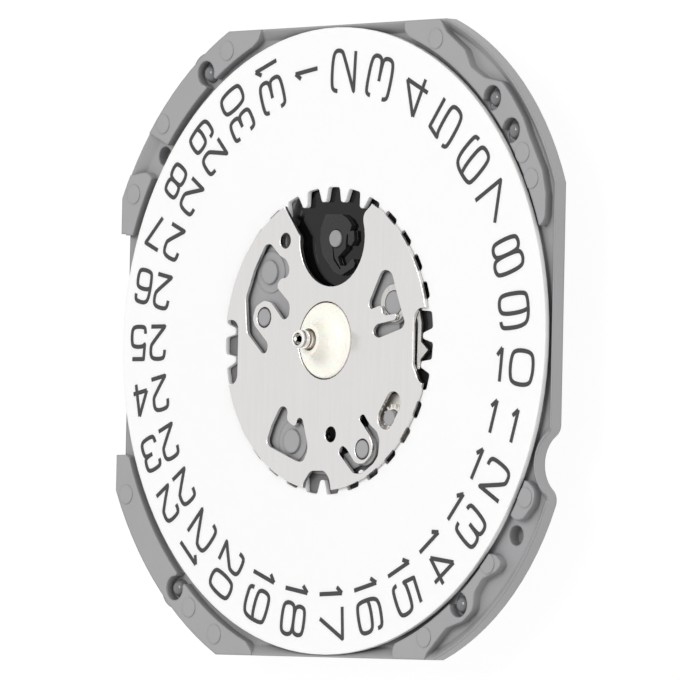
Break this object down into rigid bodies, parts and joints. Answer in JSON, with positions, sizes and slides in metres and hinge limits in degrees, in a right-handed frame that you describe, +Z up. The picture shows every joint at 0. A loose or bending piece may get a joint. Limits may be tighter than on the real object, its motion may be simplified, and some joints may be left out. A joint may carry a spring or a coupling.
{
  "type": "quartz watch movement",
  "caption": "Quartz watch movement with a white date ring, grey moulded plate, bright date guard, hand seats in the middle and sealed train, coil, battery and keyless work behind.",
  "frame": {"origin": "under the hand axis, on the back face", "axes": "+Z up the hand axis to the dial side, +X to 3 o'clock along the stem bore, +Y to 12 o'clock"},
  "size_m": [0.0246, 0.0242, 0.0048],
  "materials": {
    "plate_plastic": "satin moulded grey",
    "ring_plastic": "white, printed",
    "guard_steel": "bright rolled sheet",
    "black_plastic": "satin black",
    "ivory_plastic": "ivory, slightly glossy",
    "polished_steel": "turned and polished",
    "spring_steel": "rolled sheet",
    "brass": "turned",
    "ruby": "polished red jewel",
    "iron": "annealed sheet",
    "magnet": "sintered",
    "copper": "enamelled wire",
    "bobbin_plastic": "natural",
    "board_green": "solder mask",
    "chip_black": "moulded",
    "cell_steel": "drawn",
    "gasket": "sealing ring",
    "pellet": "pressed powder",
    "film": "thin amber film",
    "cover_steel": "rolled sheet",
    "stake_plastic": "domed"
  },
  "bodies": {
    "plate": {"main_plate": "plate_plastic", "center_bush": "brass", "date_wheel_post": "polished_steel", "stake_pins": "stake_plastic", "date_guard_plate": "guard_steel", "date_jumper": "spring_steel", "train_bridge": "brass", "bridge_jewels": "ruby", "bridge_screws": "polished_steel", "stator": "iron", "coil_core": "iron", "coil_bobbin": "bobbin_plastic", "coil_winding": "copper", "coil_terminal_board": "board_green", "coil_screws": "polished_steel", "circuit_board": "board_green", "circuit_chip": "chip_black", "quartz_crystal": "cell_steel", "battery_can": "cell_steel", "battery_gasket": "gasket", "battery_cap": "cell_steel", "battery_pellet": "pellet", "battery_contact": "spring_steel", "keyless_cover": "spring_steel", "keyless_screw": "polished_steel", "insulator_film": "film", "circuit_cover": "cover_steel", "cover_screws": "polished_steel"},
    "cannon": {"cannon_pinion": "polished_steel"},
    "center": {"center_wheel": "brass"},
    "hour": {"hour_wheel": "ivory_plastic"},
    "minute": {"minute_wheel": "black_plastic"},
    "setting": {"setting_wheel": "spring_steel"},
    "date_wheel": {"date_driving_wheel": "black_plastic"},
    "ring": {"date_ring": "ring_plastic"},
    "corrector": {"date_corrector_wheel": "spring_steel"},
    "second": {"second_wheel": "polished_steel"},
    "third": {"third_wheel": "brass"},
    "fifth": {"fifth_wheel": "ivory_plastic"},
    "rotor": {"rotor_pinion": "polished_steel", "rotor_magnet": "magnet"},
    "clutch": {"clutch_wheel": "polished_steel"},
    "lever": {"setting_lever": "spring_steel"},
    "yoke_arm": {"yoke": "spring_steel"},
    "stop": {"stop_lever": "spring_steel"}
  },
  "joints": [
    {"name": "cannon_turn", "type": "hinge", "parent": "plate", "child": "cannon", "pos_m": [0, 0, 0.003], "axis": [0, 0, 1], "continuous": true},
    {"name": "center_turn", "type": "hinge", "parent": "plate", "child": "center", "pos_m": [0, 0, 0.0015], "axis": [0, 0, 1], "continuous": true},
    {"name": "hour_turn", "type": "hinge", "parent": "plate", "child": "hour", "pos_m": [0, 0, 0.003], "axis": [0, 0, 1], "continuous": true},
    {"name": "minute_wheel_turn", "type": "hinge", "parent": "plate", "child": "minute", "pos_m": [0.00042, -0.00239, 0.0021], "axis": [0, 0, 1], "continuous": true},
    {"name": "setting_wheel_turn", "type": "hinge", "parent": "plate", "child": "setting", "pos_m": [0.00296, -0.00114, 0.0021], "axis": [0, 0, 1], "continuous": true},
    {"name": "date_wheel_turn", "type": "hinge", "parent": "plate", "child": "date_wheel", "pos_m": [0.0003, 0.0039, 0.0027], "axis": [0, 0, 1], "continuous": true},
    {"name": "date_ring_turn", "type": "hinge", "parent": "plate", "child": "ring", "pos_m": [0, 0, 0.003], "axis": [0, 0, 1], "continuous": true, "deforming": ["date_jumper"]},
    {"name": "corrector_turn", "type": "hinge", "parent": "plate", "child": "corrector", "pos_m": [0.00372, -0.00298, 0.003], "axis": [0, 0, 1], "continuous": true},
    {"name": "second_turn", "type": "hinge", "parent": "plate", "child": "second", "pos_m": [0, 0, 0.00085], "axis": [0, 0, 1], "continuous": true},
    {"name": "third_turn", "type": "hinge", "parent": "plate", "child": "third", "pos_m": [-0.00162, 0.00093, 0.0011], "axis": [0, 0, 1], "continuous": true},
    {"name": "fifth_turn", "type": "hinge", "parent": "plate", "child": "fifth", "pos_m": [0.00125, -0.00149, 0.00065], "axis": [0, 0, 1], "continuous": true},
    {"name": "rotor_turn", "type": "hinge", "parent": "plate", "child": "rotor", "pos_m": [0.00256, -0.00259, 0.0012], "axis": [0, 0, 1], "continuous": true},
    {"name": "clutch_slide", "type": "slide", "parent": "plate", "child": "clutch", "axis": [-1, 0, 0], "range_m": [0, 0.00028]},
    {"name": "yoke_turn", "type": "hinge", "parent": "plate", "child": "yoke_arm", "pos_m": [0.0069, -0.00255, 0.0008], "axis": [0, 0, 1], "range_deg": [0, 6.5]},
    {"name": "setting_lever_turn", "type": "hinge", "parent": "plate", "child": "lever", "pos_m": [0.00735, 0.00245, 0.001], "axis": [0, 0, 1], "range_deg": [0, 10]},
    {"name": "stop_lever_turn", "type": "hinge", "parent": "plate", "child": "stop", "pos_m": [0.0052, 0.00255, 0.0006], "axis": [0, 0, 1], "range_deg": [-4, 0]}
  ],
  "couplings": [
    {"joint": "hour_turn", "follows": "cannon_turn", "ratio": 0.083333},
    {"joint": "minute_wheel_turn", "follows": "cannon_turn", "ratio": -0.33333},
    {"joint": "date_wheel_turn", "follows": "cannon_turn", "ratio": -0.041667},
    {"joint": "setting_wheel_turn", "follows": "cannon_turn", "ratio": 0.6},
    {"joint": "third_turn", "follows": "second_turn", "ratio": -0.13333},
    {"joint": "center_turn", "follows": "second_turn", "ratio": 0.016667},
    {"joint": "fifth_turn", "follows": "second_turn", "ratio": -5},
    {"joint": "rotor_turn", "follows": "second_turn", "ratio": 30},
    {"joint": "yoke_turn", "follows": "clutch_slide", "rad_per_m": 392},
    {"joint": "setting_lever_turn", "follows": "clutch_slide", "rad_per_m": 610},
    {"joint": "stop_lever_turn", "follows": "clutch_slide", "rad_per_m": -237}
  ]
}
